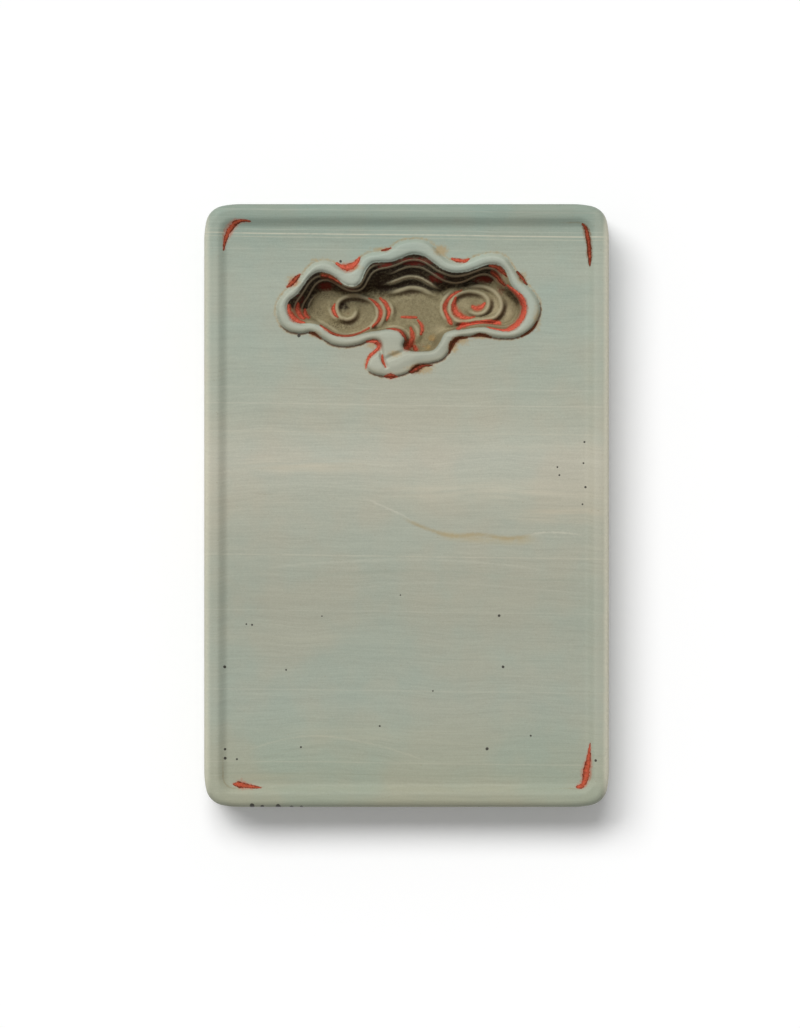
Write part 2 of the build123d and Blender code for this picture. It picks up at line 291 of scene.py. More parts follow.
def stone_height(places):
    """The height of the stone's top at each place, without the rounding of its outer edge."""
    height = field_top + field_wave * patches(places, 17, 3)
    rise = ease((field_gap(places) + rim_foot_reach) / rim_slope)
    height += rise * (block_top - height)
    close = near(places, lip_outside, 0.1)
    spots = places[close]
    outside = depth_inside(spots, lip_outside)
    mouth = depth_inside(spots, pool_mouth)
    share = wall_share(spots, mouth)
    top = height[close]
    crisp = rolled(outside / lip_foot_roll)
    soft = ease(0.5 * (outside + 0.3) / (0.75 * lip_foot_roll))
    lee = lee_of(spots, outside)
    lip = top + (lip_top - top) * (lee * crisp + (1 - lee) * soft) * (outside > 0)
    shoulder = rolled(np.minimum(outside, -mouth) / lip_shoulder_wide)
    lip -= lip_shoulder_drop * (1 - shoulder) * (outside > 0)
    lip -= lip_mouth_drop * (1 - rolled(-mouth / lip_mouth_roll)) * (outside > 0)
    edge = lip_top - lip_mouth_drop
    wall = edge - (edge - pool_floor) * (0.35 * share + 0.65 * ease(share) ** 0.9)
    for points in ledges_px:
        line = smooth_line(points)
        picked, apart, along, _ = close_to(spots, line, 2 * tread_reach)
        line_share = wall_share(line[:, :2])
        inward = share[picked] > np.interp(along, np.arange(len(line)), line_share)
        taper = taper_of(line, along, 12)
        tread = np.clip(1 - apart / tread_reach, 0, 1)
        riser = np.where(
            apart < riser_reach,
            1 - 2 * apart / riser_reach,
            -np.clip(1 - (apart - riser_reach) / tread_reach, 0, 1),
        )
        wall[picked] += ledge_step * taper * np.where(inward, riser, tread)
    height[close] = np.where(mouth > 0, wall, np.where(outside > 0, lip, top))
    in_foot = np.zeros(len(places), bool)
    in_foot[close] = share >= 1
    for high, points in whorls_px:
        line = smooth_line(points)
        picked, apart, along, away = close_to(places, line, 2.4 * whorl_half)
        taper = taper_of(line, along, 14, rolled)
        height[picked] += whorl_swell * high * taper * ease(1 - apart / whorl_half)
        lee = ease(away @ whorl_lee_way) * in_foot[picked]
        height[picked] -= whorl_hollow * taper * lee * ease(1 - np.abs(apart - 1.2 * whorl_half) / 1.3)
    for deep, half, points in grooves_px:
        line = smooth_line(points)
        picked, apart, along, _ = close_to(places, line, half)
        height[picked] -= deep * taper_of(line, along, 10, rolled) * ease(1 - apart / half)
    return height


def corner_path(half_w, half_l, bends, shares):
    """Places from the middle of a side, by its half of the corner, to the corner's middle. Each bend
    is a radius and a turn in degrees."""
    turned = np.cumsum([0] + [np.radians(turn) for _, turn in bends])
    reach = 0.0
    down = 0.0
    for (radius, _), before, after in zip(bends, turned, turned[1:]):
        reach += radius * (np.sin(after) - np.sin(before))
        down += radius * (np.cos(before) - np.cos(after))
    straight = half_w - reach - down
    lengths = [straight] + [radius * np.radians(turn) for radius, turn in bends]
    travel = np.asarray(shares) * sum(lengths)
    x = np.minimum(travel, straight)
    y = np.full(len(travel), float(half_l))
    passed = straight
    for (radius, turn), before in zip(bends, turned):
        angle = np.clip((travel - passed) / radius, 0, np.radians(turn)) + before
        x += radius * (np.sin(angle) - np.sin(before))
        y -= radius * (np.cos(before) - np.cos(angle))
        passed += radius * np.radians(turn)
    return np.stack([x, y], 1)


grid_end_gap = 2.0
cells_across = int(2 * (half_wide - rim_wide - field_corner) / cell + 0.5)
cells_across -= cells_across % 2
cells_along = int(2 * (half_long - rim_wide - grid_end_gap) / cell + 0.5)
grid_low = np.array((-cells_across, -cells_along)) * cell / 2
fine = cell / fine_steps

middles = np.indices((cells_across, cells_along)).reshape(2, -1).T + 0.5
middles = grid_low + middles * cell
dense = (depth_inside(middles, lip_outside) > -1.1 * cell).reshape(cells_across, cells_along)

lattice = {}
faces = []


def post(i, j):
    """The vertex at one crossing of the fine grid."""
    return lattice.setdefault((i, j), len(lattice))


def is_dense(i, j):
    return 0 <= i < cells_across and 0 <= j < cells_along and dense[i, j]


def side_steps(beside, at_border):
    """Where the vertices of one side of a coarse cell stand."""
    if at_border:
        return range(0, fine_steps, fine_steps // ring_steps)
    return range(fine_steps) if is_dense(*beside) else (0,)


for i in range(cells_across):
    for j in range(cells_along):
        left, low = i * fine_steps, j * fine_steps
        right, high = left + fine_steps, low + fine_steps
        if dense[i, j]:
            for a in range(left, right):
                for b in range(low, high):
                    faces.append([post(a, b), post(a + 1, b), post(a + 1, b + 1), post(a, b + 1)])
            continue
        ring = [post(left + k, low) for k in side_steps((i, j - 1), j == 0)]
        ring += [post(right, low + k) for k in side_steps((i + 1, j), i == cells_across - 1)]
        ring += [post(right - k, high) for k in side_steps((i, j + 1), j == cells_along - 1)]
        ring += [post(left, high - k) for k in side_steps((i - 1, j), i == 0)]
        faces.append(ring)

spots = np.array(list(lattice)) * fine + grid_low
stone_places = np.column_stack([spots, stone_height(spots)])

# Rings round the grid: over the rim, down the side and under the block
stride = fine_steps // ring_steps
last_i, last_j = cells_across * fine_steps, cells_along * fine_steps
border = [(last_i, j) for j in range(0, last_j, stride)]
border += [(i, last_j) for i in range(last_i, 0, -stride)]
border += [(0, j) for j in range(last_j, 0, -stride)]
border += [(i, 0) for i in range(0, last_i, stride)]
border_spots = np.array(border) * fine + grid_low


def loop(half_w, half_l, bends):
    """A closed loop round the block, with one place for each vertex on the grid's border."""
    ends = np.isclose(np.abs(border_spots[:, 1]), -grid_low[1])
    made = np.empty_like(border_spots)
    made[ends] = corner_path(half_w, half_l, bends, np.abs(border_spots[ends, 0] / grid_low[0]))
    sides = corner_path(half_l, half_w, bends, np.abs(border_spots[~ends, 1] / grid_low[1]))
    made[~ends] = sides[:, ::-1]
    return made * np.where(border_spots < 0, -1, 1)


field_edge = loop(half_wide - rim_wide, half_long - rim_wide, [(field_corner, 45)])
outline = loop(half_wide, half_long, side_bends)
foot_edge = loop(half_wide - foot_wide, half_long - foot_wide, [(foot_corner, 45)])
inward = (field_edge - outline) / np.linalg.norm(field_edge - outline, axis=1)[:, None]

rings = []
slope_shares = (0.3, 0.48, 0.6, 0.72, 0.86)
for share in slope_shares:
    spots = border_spots + (field_edge - border_spots) * share
    rings.append(np.column_stack([spots, stone_height(spots)]))
rim_shares = (0, 0.05, 0.1, 0.15, 0.2, 0.26, 0.34, 0.46, 0.56, 0.64, 0.71, 0.78, 0.85, 0.91, 0.955, 0.985, 1)
for share in rim_shares:
    spots = field_edge + (outline - field_edge) * share
    edge = np.clip(edge_round - np.linalg.norm(outline - spots, axis=1), 0, edge_round)
    drop = edge_round - np.sqrt(edge_round**2 - edge**2)
    rings.append(np.column_stack([spots, stone_height(spots) - drop]))
rings_on_top = len(rings)
side_heights = (10.0, 6.5, 3.5, base_round)
for height in side_heights:
    rings.append(np.column_stack([outline, np.full(len(outline), height)]))
for angle in np.radians((22.5, 45, 67.5, 90)):
    spots = outline + inward * base_round * (1 - np.cos(angle))
    rings.append(np.column_stack([spots, np.full(len(spots), base_round * (1 - np.sin(angle)))]))
foot_steps = ((0.3, 0), (0, 0), (0, 0.2), (0, foot_rise - 0.2), (-0.2, foot_rise))
for reach, height in foot_steps:
    spots = foot_edge + (outline - foot_edge) / foot_wide * reach
    rings.append(np.column_stack([spots, np.full(len(spots), height)]))

inner = [lattice[crossing] for crossing in border]
count = len(stone_places)
for ring in rings:
    outer = list(range(count, count + len(ring)))
    for k in range(len(outer)):
        following = (k + 1) % len(outer)
        faces.append([inner[k], outer[k], outer[following], inner[following]])
    inner = outer
    count += len(ring)
faces.append(inner)
stone_places = np.vstack([stone_places, *rings])
top_count = len(lattice) + rings_on_top * len(border)
top_spots = stone_places[:top_count, :2]


def add_object(name, data):
    added = bpy.data.objects.new(name, data)
    bpy.context.scene.collection.objects.link(added)
    return added


def make_piece(name, places, faces):
    """A smooth-shaded piece from places in millimetres, at the origin of the frame."""
    mesh = bpy.data.meshes.new(name)
    mesh.from_pydata((np.asarray(places) * mm).tolist(), [], faces)
    mesh.shade_smooth()
    return add_object(name, mesh)


stone = make_piece("ink_stone", stone_places, faces)


def paint(name, strength):
    """Gives each vertex on the stone's top a strength for one of its marks, painted shades or painted
    highlights.
    """
    values = np.zeros(len(stone_places), np.float32)
    values[:top_count] = strength
    attribute = stone.data.attributes.get(name) or stone.data.attributes.new(name, "FLOAT", "POINT")
    attribute.data.foreach_set("value", values)


lip_depth = depth_inside(top_spots, lip_outside)
mouth_depth = depth_inside(top_spots, pool_mouth)
_, _, from_mouth = nearest(top_spots, pool_mouth, closed=True)
share_down = np.where(mouth_depth > 0, wall_share(top_spots, mouth_depth), 0)
# Painted highlight on the lip's crest
paint("crest", rolled(np.minimum(lip_depth, -mouth_depth) / 1.1) * (lip_depth > 0) * (mouth_depth < 0))
on_lip = ease(lip_depth / 0.4) * ease(-mouth_depth / 0.4)
towards_front = ease((56 - top_spots[:, 1]) / 18) * (1 - 0.6 * ease((38 - top_spots[:, 1]) / 3))
lip_lee = lee_of(top_spots, lip_depth) * ease(1.1 - lip_depth / 2.2)
paint("shaded", on_lip * np.maximum(lip_lee, 0.45 * towards_front))
paint("pool", ease((mouth_depth + 0.1) / 0.5))


def beside(lines, half):
    """How close each vertex lies to lines that taper at their ends, from 0 to 1."""
    found = np.zeros(len(top_spots))
    for line in lines:
        picked, apart, along, _ = close_to(top_spots, line, half)
        strength = taper_of(line, along, 12) * ease(1 - apart / half)
        found[picked] = np.maximum(found[picked], strength)
    return found


whorl_lines = [smooth_line(points) for _, points in whorls_px]
# Painted highlight along the ledges' edges
paint("ledges", beside([smooth_line(points) for points in ledges_px], 0.28))
# Painted highlight along the whorls' raised lines
paint("ridges", beside(whorl_lines, 0.95))
# Painted shadow and dirt in the floor's hollows, in the lee of the whorls' lines away from the lamps
hollow = np.zeros(len(top_spots))
for line in whorl_lines:
    picked, apart, along, away = close_to(top_spots, line, 2.6)
    darkening = taper_of(line, along, 18) * ease(away @ whorl_lee_way * 1.1 + 0.1)
    darkening *= np.exp(-((apart - 0.85) ** 2) / 0.7)
    hollow[picked] = np.maximum(hollow[picked], darkening)
paint("hollow", hollow * (share_down >= 0.85))
# Painted shadow and dirt at the lip's foot, on its side away from the lamps
lee = lee_of(top_spots, lip_depth) * np.exp(-((lip_depth + 0.05) ** 2) / np.where(lip_depth > 0, 0.05, 0.16))
paint("lee", lee)
# Painted shade and grime at the foot of the rim, strongest near its corners
corner_gap = np.abs(np.abs(top_spots) - (half_wide - rim_wide, half_long - rim_wide))
corner_reach = 4.0
corner_fade = 5.0
corner_near = np.exp(-np.maximum(corner_gap.max(1) - corner_reach, 0) / corner_fade)
grime_and_shade = np.exp(-(((field_gap(top_spots) - 0.02) / 0.32) ** 2))
paint("grime_and_shade", grime_and_shade * (0.35 + 0.65 * corner_near))
# Wear, pale along the block's long edges
from_side = half_wide - np.abs(top_spots[:, 0])
edge_wear = np.where(top_spots[:, 0] > 0, 1.0, 0.5) * ease(1.2 - from_side / 1.5)
paint("wear", edge_wear + 0.06 * ease((rim_wide - 0.6 - from_side) / 0.8))


def blotches(rows):
    """Soft round blotches, from their places and sizes in the photograph and their strengths."""
    total = np.zeros(len(top_spots))
    for across, down, wide, high, strength in rows:
        offset = (top_spots - on_stone((across, down))) / (wide * pixel, high * pixel)
        total = np.maximum(total, strength * np.exp(-(offset**2).sum(1)))
    return total


# Old ink and painted shade on the wall, darkest where it faces the front and right, away from the lamps
ink_and_shade_px = [
    (384, 284, 22, 12, 1.0), (462, 281, 26, 8, 0.9), (430, 283, 12, 7, 0.8), (322, 285, 10, 6, 0.6),
    (345, 326, 14, 4, 0.3), (443, 293, 16, 5, 0.5), (363, 296, 14, 5, 0.6), (343, 305, 7, 7, 0.8),
    (410, 284, 20, 3, 0.55), (408, 294, 22, 3, 0.3),
]
on_wall = ease((mouth_depth + 0.1) / 0.35) * ease(0.5 - depth_inside(top_spots, pool_foot) / 2.4)
wall_lee_way = (0.42, -0.91)
facing = ease(from_mouth @ wall_lee_way * np.sign(mouth_depth) * 1.5 + 0.35)
paint("soot_and_shade", np.maximum(0.85 * on_wall * facing, blotches(ink_and_shade_px) * (mouth_depth > 0)))
# Dark specks, rust and patches of painted light inside the pool
pool_paints_px = {
    "speckle": [
        (501, 304, 8, 16, 0.4), (498, 297, 10, 8, 0.3), (497, 316, 10, 5, 0.7), (336, 325, 22, 5, 0.7),
        (316, 312, 9, 10, 0.5), (350, 300, 10, 6, 0.5), (362, 318, 8, 6, 0.4), (418, 300, 40, 6, 0.35),
        (326, 295, 12, 5, 0.6), (432, 340, 8, 8, 0.4), (344, 322, 12, 5, 0.6), (480, 314, 10, 4, 0.6),
    ],
    "rust": [
        (415, 262, 26, 5, 0.9), (384, 266, 14, 4, 0.8), (436, 278, 12, 6, 0.9), (325, 286, 11, 6, 0.9),
        (484, 279, 14, 5, 0.9), (300, 300, 8, 12, 0.6), (350, 290, 14, 3, 0.6), (500, 290, 6, 8, 0.7),
        (330, 276, 14, 4, 0.8), (345, 313, 6, 5, 0.5), (360, 305, 5, 5, 0.4), (476, 300, 8, 5, 0.4),
        (420, 345, 10, 5, 0.5), (432, 338, 5, 6, 0.5), (290, 320, 6, 8, 0.7),
    ],
    "painted_light": [
        (496, 304, 9, 13, 0.8), (464, 303, 5, 5, 0.5), (507, 311, 5, 8, 0.8), (440, 329, 8, 4, 0.9),
    ],
}
for name, rows in pool_paints_px.items():
    paint(name, blotches(rows) * (mouth_depth > 0))
# Brown stains at the lip's foot
stain_px = [
    (293, 282, 8, 7, 0.8), (315, 261, 6, 3, 0.6), (380, 250, 10, 3, 0.7), (440, 251, 8, 6, 0.9),
    (521, 279, 6, 8, 0.7), (536, 320, 5, 14, 0.6), (480, 337, 10, 3, 0.8), (460, 341, 10, 4, 0.8),
    (453, 347, 5, 8, 0.8), (420, 369, 14, 5, 0.9), (314, 335, 8, 4, 0.6), (431, 337, 5, 4, 0.7),
    (427, 347, 5, 4, 0.6), (394, 354, 7, 4, 0.8), (371, 345, 8, 5, 0.7), (350, 268, 12, 4, 0.8),
]
halo = 0.5 * np.exp(-(((lip_depth + 0.25) / 0.5) ** 2))
paint("overlay", np.maximum(blotches(stain_px), halo))


def colour(*screen):
    """A colour as a screen shows it, from 0 to 255, as the values that a shader takes."""
    shares = [value / 255 for value in screen]
    return (*[s / 12.92 if s < 0.04045 else ((s + 0.055) / 1.055) ** 2.4 for s in shares], 1.0)


def node(tree, kind, inputs=None, **settings):
    """Adds a node. Each of its inputs is a value, or another node's output to link."""
    made = tree.nodes.new(kind)
    for name, value in settings.items():
        setattr(made, name, value)
    for name, value in (inputs or {}).items():
        if isinstance(value, bpy.types.NodeSocket):
            tree.links.new(value, made.inputs[name])
        else:
            made.inputs[name].default_value = value
    return made


def maths(tree, operation, *values):
    return node(tree, "ShaderNodeMath", dict(enumerate(values)), operation=operation).outputs[0]


def times(tree, first, second):
    return maths(tree, "MULTIPLY", first, second)


def scaled(tree, value, factor, offset):
    return maths(tree, "MULTIPLY_ADD", value, factor, offset)


def blend(tree, factor, first, second, how="MIX"):
    inputs = {0: factor, 6: first, 7: second}
    return node(tree, "ShaderNodeMix", inputs, data_type="RGBA", blend_type=how).outputs[2]


def rise_of(tree, value, low, high):
    """Rises smoothly from 0 to 1 while the value goes from low to high."""
    inputs = {"Value": value, "From Min": low, "From Max": high}
    return node(tree, "ShaderNodeMapRange", inputs, interpolation_type="SMOOTHSTEP").outputs[0]


def noise_of(tree, places, scale, detail=2.0, roughness=0.5):
    inputs = {"Vector": places, "Scale": scale, "Detail": detail, "Roughness": roughness}
    return node(tree, "ShaderNodeTexNoise", inputs).outputs[0]


def paint_of(tree, name):
    return node(tree, "ShaderNodeAttribute", attribute_name=name).outputs["Fac"]


def ramp_of(tree, value, stops):
    """The colours of a row of stops, each with its place from 0 to 1."""
    ramp = node(tree, "ShaderNodeValToRGB", {0: value})
    elements = ramp.color_ramp.elements
    while len(elements) < len(stops):
        elements.new(0.5)
    for element, (position, shade) in zip(elements, stops):
        element.position = position
        element.color = colour(*shade)
    return ramp.outputs[0]


def empty_tree(owner):
    """The node tree of a material or a world, with nothing in it."""
    owner.use_nodes = True
    owner.node_tree.nodes.clear()
    return owner.node_tree


def new_material(name):
    """An empty material, with its places on the piece in millimetres."""
    material = bpy.data.materials.new(name)
    tree = empty_tree(material)
    inputs = {0: node(tree, "ShaderNodeTexCoord").outputs["Object"], 1: (1 / mm, 1 / mm, 1 / mm)}
    return material, tree, node(tree, "ShaderNodeVectorMath", inputs, operation="MULTIPLY").outputs[0]


def finish_material(tree, shade, roughness, gloss, relief, strength, depth):
    """Gives a material its colour, its shine and a fine relief, whose depth is in millimetres."""
    relief = {"Strength": strength, "Distance": depth * mm, "Height": relief}
    bump = node(tree, "ShaderNodeBump", relief).outputs[0]
    finish = {"Base Color": shade, "Roughness": roughness, "Normal": bump, "Specular IOR Level": gloss}
    shader = node(tree, "ShaderNodeBsdfPrincipled", finish).outputs[0]
    node(tree, "ShaderNodeOutputMaterial", {0: shader})


bedded_stone, tree, places = new_material("bedded_stone")
x, y, z = node(tree, "ShaderNodeSeparateXYZ", {0: places}).outputs
# The beds run across, lean a little and wave slowly
wave = times(tree, maths(tree, "SUBTRACT", noise_of(tree, places, 0.03), 0.5), 5.0)
lean = times(tree, z, 0.4)
bed = maths(tree, "ADD", maths(tree, "ADD", y, wave), lean)
level = scaled(tree, x, 0.012, scaled(tree, wave, 0.08, y))


def beds_of(stretch, scale, detail, roughness):
    """Noise drawn out along the beds."""
    along_beds = node(tree, "ShaderNodeCombineXYZ", {0: times(tree, x, stretch), 1: bed})
    return noise_of(tree, along_beds.outputs[0], scale, detail, roughness)


fine_beds = beds_of(0.05, 2.1, 3.0, 0.6)
mid_beds = beds_of(0.03, 0.7, 2.0, 0.5)
wide_beds = beds_of(0.12, 0.12, 1.0, 0.5)
bands_start = -73.0
bands_end = 80.0
inputs = {"Value": bed, "From Min": bands_start, "From Max": bands_end}
ramp_at = node(tree, "ShaderNodeMapRange", inputs).outputs[0]
bands = [
    (0.0, (150, 152, 130)), (0.05, (149, 152, 131)), (0.093, (147, 153, 134)), (0.20, (153, 159, 144)),
    (0.363, (153, 156, 140)), (0.46, (160, 162, 146)), (0.52, (168, 167, 150)), (0.585, (178, 177, 161)),
    (0.648, (168, 168, 151)), (0.72, (160, 164, 148)), (0.839, (155, 164, 150)), (0.90, (152, 163, 149)),
    (0.955, (138, 152, 139)), (1.0, (126, 143, 130)),
]
tone = scaled(tree, fine_beds, 0.3, 0.73)
tone = scaled(tree, mid_beds, 0.16, tone)
tone = scaled(tree, wide_beds, 0.08, tone)
grain = noise_of(tree, places, 2.6, 3.0, 0.7)
tone = scaled(tree, maths(tree, "SUBTRACT", grain, 0.5), 0.34, tone)
grey = node(tree, "ShaderNodeCombineXYZ", {0: tone, 1: tone, 2: tone}).outputs[0]
shade = blend(tree, 1.0, ramp_of(tree, ramp_at, bands), grey, "MULTIPLY")
mottle = noise_of(tree, places, 1.4, 4.0, 0.65)
cloudy = rise_of(tree, noise_of(tree, places, 0.05, 3.0, 0.6), 0.35, 0.65)
warm_and_cool = blend(tree, cloudy, colour(146, 168, 158), colour(180, 166, 144))
shade = blend(tree, 0.16, shade, warm_and_cool)


def tint(shade, amount, strength, overlay):
    """The colour with an overlay laid over it, which is a mark on the stone, painted shade or a painted
    highlight.
    """
    return blend(tree, times(tree, amount, strength), shade, colour(*overlay))


def across_px(start, end, fade):
    """Where the stone lies between two places across the photograph, with faded ends."""
    start, end = ((value - photo_middle[0]) * pixel for value in (start, end))
    reach = fade * pixel
    rise = rise_of(tree, x, start, start + reach)
    return times(tree, rise, rise_of(tree, x, end, end - reach))


def seam(down_px, half_px):
    """A straight seam across the stone, at a height of the photograph."""
    gap = maths(tree, "ABSOLUTE", maths(tree, "SUBTRACT", level, (photo_middle[1] - down_px) * pixel))
    return rise_of(tree, gap, half_px * pixel, 0.0)


# Warm bands and seams, each at its height in the photograph
warm_bands_px = [
    (465, 14, 190, 420, 120, 0.45, (196, 184, 160)), (490, 16, 330, 640, 170, 0.5, (204, 196, 174)),
    (447, 8, 420, 640, 120, 0.3, (196, 190, 170)), (512, 12, 470, 640, 90, 0.4, (200, 186, 160)),
    (640, 10, 180, 420, 100, 0.2, (176, 176, 156)), (736, 14, 240, 520, 80, 0.25, (176, 174, 152)),
    (779, 12, 190, 330, 60, 0.3, (160, 150, 122)), (600, 7, 380, 640, 80, 0.2, (180, 178, 158)),
]
broken = rise_of(tree, beds_of(0.05, 0.5, 3.0, 0.6), 0.3, 0.65)
for down, half, start, end, fade, strength, overlay in warm_bands_px:
    band = times(tree, seam(down, half), across_px(start, end, fade))
    shade = tint(shade, times(tree, band, broken), strength, overlay)
seams_px = [
    (212, 1.2, 0.35, (168, 172, 156)), (218.5, 1.0, 0.3, (120, 134, 122)), (228, 1.4, 0.3, (136, 148, 136)),
    (231.5, 0.9, 0.3, (184, 186, 168)), (235.6, 1.1, 0.6, (212, 205, 182)),
    (238.9, 0.9, 0.3, (202, 197, 172)), (244, 1.0, 0.25, (140, 150, 138)),
    (251, 1.1, 0.3, (182, 186, 170)), (262, 1.2, 0.25, (142, 152, 140)),
    (389, 1.2, 0.3, (184, 184, 168)), (405, 1.0, 0.3, (198, 194, 176)), (433, 1.2, 0.25, (190, 186, 166)),
    (556, 1.1, 0.3, (196, 192, 172)), (611, 1.0, 0.25, (186, 186, 168)), (658, 1.1, 0.25, (140, 148, 134)),
    (690, 1.2, 0.25, (184, 184, 166)), (762, 1.0, 0.3, (182, 180, 160)), (774, 1.3, 0.25, (132, 136, 116)),
]
worn = rise_of(tree, noise_of(tree, places, 0.22, 3.0, 0.7), 0.1, 0.62)
for down, half, strength, overlay in seams_px:
    shade = tint(shade, times(tree, seam(down, half), worn), strength, overlay)


def vein_of(points_px, half_px):
    """How strongly a vein through places of the photograph shows, from 0 to 1."""
    curve = node(tree, "ShaderNodeFloatCurve", {"Value": scaled(tree, x, 0.5 / half_wide, 0.5)})
    posts = curve.mapping.curves[0].points
    shares = on_stone(points_px) / (2 * half_wide, 2 * half_long) + 0.5
    posts[0].location = shares[0]
    posts[1].location = shares[-1]
    for share in shares[1:-1]:
        posts.new(*share)
    curve.mapping.update()
    at = scaled(tree, curve.outputs[0], 2 * half_long, -half_long)
    jitter = scaled(tree, mottle, 0.8, -0.4)
    gap = maths(tree, "ABSOLUTE", maths(tree, "SUBTRACT", maths(tree, "ADD", y, jitter), at))
    thread = rise_of(tree, gap, half_px * pixel, 0.0)
    ends = across_px(points_px[0][0], points_px[-1][0], 20)
    return times(tree, times(tree, thread, worn), ends)


veins_px = [
    (2.0, 0.35, (202, 199, 182), [(358, 495), (380, 505), (400, 514), (420, 526)]),
    (3.4, 0.6, (152, 132, 90), [(398, 516), (428, 529), (449, 535), (479, 534), (508, 538), (535, 533)]),
    (7.0, 0.4, (172, 154, 112), [(430, 532), (460, 537), (490, 539), (520, 540), (540, 537)]),
    (1.6, 0.35, (212, 206, 186), [(520, 536), (550, 532), (586, 536)]),
    (2.0, 0.22, (194, 194, 176), [(262, 568), (330, 562), (440, 560), (500, 564), (552, 571)]),
    (2.4, 0.2, (136, 144, 128), [(300, 578), (380, 571), (450, 571), (520, 578), (590, 580)]),
    (2.0, 0.15, (190, 190, 172), [(340, 590), (420, 582), (500, 586), (590, 594)]),
    (1.6, 0.22, (186, 182, 160), [(240, 752), (285, 738), (320, 735), (352, 739), (387, 747), (430, 762)]),
    (1.8, 0.2, (134, 138, 120), [(250, 762), (300, 747), (330, 744), (370, 752), (410, 765)]),
    (1.4, 0.4, (120, 108, 84), [(251, 492), (264, 494), (280, 493.5)]),
]
for half, strength, overlay, points in veins_px:
    shade = tint(shade, vein_of(points, half), strength, overlay)


def painted(name, low, high):
    """How strongly one of the painted marks, painted shades or painted highlights shows, broken up by the
    stone's mottling.
    """
    amount = maths(tree, "ADD", paint_of(tree, name), maths(tree, "SUBTRACT", mottle, 0.55))
    return rise_of(tree, amount, low, high)


# Painted highlight on the lip's crest
shade = tint(shade, paint_of(tree, "crest"), 0.18, (196, 200, 186))
shade = tint(shade, paint_of(tree, "shaded"), 0.5, (140, 133, 106))
worn_edge = times(tree, paint_of(tree, "wear"), maths(tree, "ADD", mottle, 0.45))
shade = tint(shade, worn_edge, 0.9, (226, 222, 200))
# Painted shade and grime at the rim's foot
shade = tint(shade, painted("grime_and_shade", 0.4, 1.1), 0.45, (128, 112, 78))
olive = blend(tree, noise_of(tree, places, 1.6, 4.0, 0.7), colour(102, 88, 58), colour(160, 150, 114))
shade = blend(tree, times(tree, painted("pool", 0.3, 0.7), 0.92), shade, olive)
# Painted light on patches of the pool's floor
shade = tint(shade, paint_of(tree, "painted_light"), 0.55, (186, 174, 140))
# Painted shadow and dirt in the lee of the whorls' lines
shade = tint(shade, painted("hollow", 0.1, 1.05), 0.8, (62, 46, 34))
dots = rise_of(tree, noise_of(tree, places, 3.4, 3.0, 0.75), 0.44, 0.58)
everywhere = times(tree, paint_of(tree, "pool"), 0.2)
peppered = maths(tree, "MAXIMUM", paint_of(tree, "speckle"), everywhere)
shade = tint(shade, times(tree, dots, peppered), 0.8, (40, 31, 22))
# Old ink with painted shade, rust, and a painted highlight on the whorls' lines
wall_marks_shade_and_highlight = [
    ("soot_and_shade", 0.1, 0.9, 0.97, (22, 9, 4)), ("rust", 0.3, 0.9, 0.65, (112, 34, 24)),
    ("ridges", 0.1, 0.9, 0.64, (176, 168, 138)),
]
for name, low, high, strength, overlay in wall_marks_shade_and_highlight:
    shade = tint(shade, painted(name, low, high), strength, overlay)
# Painted highlight along the ledges' edges
shade = tint(shade, paint_of(tree, "ledges"), 0.72, (178, 168, 140))
# Stains at the lip's foot, painted shadow with dirt in its lee, and the stains round the crusts
lip_foot_marks_and_shadow = [
    ("overlay", 0.1, 0.75, 0.62, (164, 132, 78)), ("lee", 0.25, 0.8, 0.8, (78, 50, 26)),
    ("brown", 0.25, 0.95, 0.75, (110, 66, 34)), ("red", 0.25, 1.0, 0.7, (168, 82, 58)),
]
for name, low, high, strength, overlay in lip_foot_marks_and_shadow:
    shade = tint(shade, painted(name, low, high), strength, overlay)

# Pits and specks, each at its place in the photograph
specks_px = [
    (298.5, 336, 1.9), (340, 262, 1.5), (224.6, 666, 1.6), (501.9, 666, 1.5), (486, 747.7, 1.7),
    (236.7, 758, 1.2), (594, 759, 1.4), (529.5, 734.6, 1.1), (379, 725, 1.1), (300.5, 746, 1.1),
    (285.7, 669, 1.0), (498, 615, 1.5), (556, 467, 1.0), (558, 475, 1.0), (252, 804, 2.6), (262, 805, 2.0),
    (278, 805, 2.8), (291, 806, 2.0), (301, 805.5, 1.6), (225, 748, 1.4), (225, 757, 1.6),
    (583, 442, 1.1), (582, 463, 1.0), (584, 487, 1.3), (581, 504, 1.0), (432, 690, 0.9),
    (321.4, 615.5, 0.8), (246.1, 623.4, 1.0), (251.8, 624.1, 1.1), (399.6, 594.5, 0.8),
]
flat = node(tree, "ShaderNodeCombineXYZ", {0: x, 1: y}).outputs[0]
ragged = scaled(tree, noise_of(tree, places, 3.0, 3.0, 0.6), 0.6, -0.3)
closest = 9.0
for across, down, reach in specks_px:
    middle = (*on_stone((across, down)), 0)
    gap = node(tree, "ShaderNodeVectorMath", {0: flat, 1: middle}, operation="DISTANCE").outputs["Value"]
    closest = maths(tree, "MINIMUM", closest, maths(tree, "DIVIDE", gap, reach * pixel))
pits = rise_of(tree, maths(tree, "ADD", closest, ragged), 1.0, 0.8)
# They end a little way down the sides
pits_end = 12.4
pits_whole = 13.2
pits = times(tree, pits, rise_of(tree, z, pits_end, pits_whole))
shade = tint(shade, pits, 0.95, (30, 24, 16))
freckles = rise_of(tree, noise_of(tree, places, 1.9, 1.0, 0.4), 0.74, 0.8)
shade = tint(shade, freckles, 0.3, (128, 112, 84))

roughness = scaled(tree, mottle, 0.25, 0.45)
gloss = scaled(tree, paint_of(tree, "pool"), -0.28, 0.35)
relief = scaled(tree, noise_of(tree, places, 6.0, 3.0, 0.7), 0.8, fine_beds)
finish_material(tree, shade, roughness, gloss, relief, strength=0.32, depth=0.1)
stone.data.materials.append(bedded_stone)
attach(stone, "root")
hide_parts("stone_block")

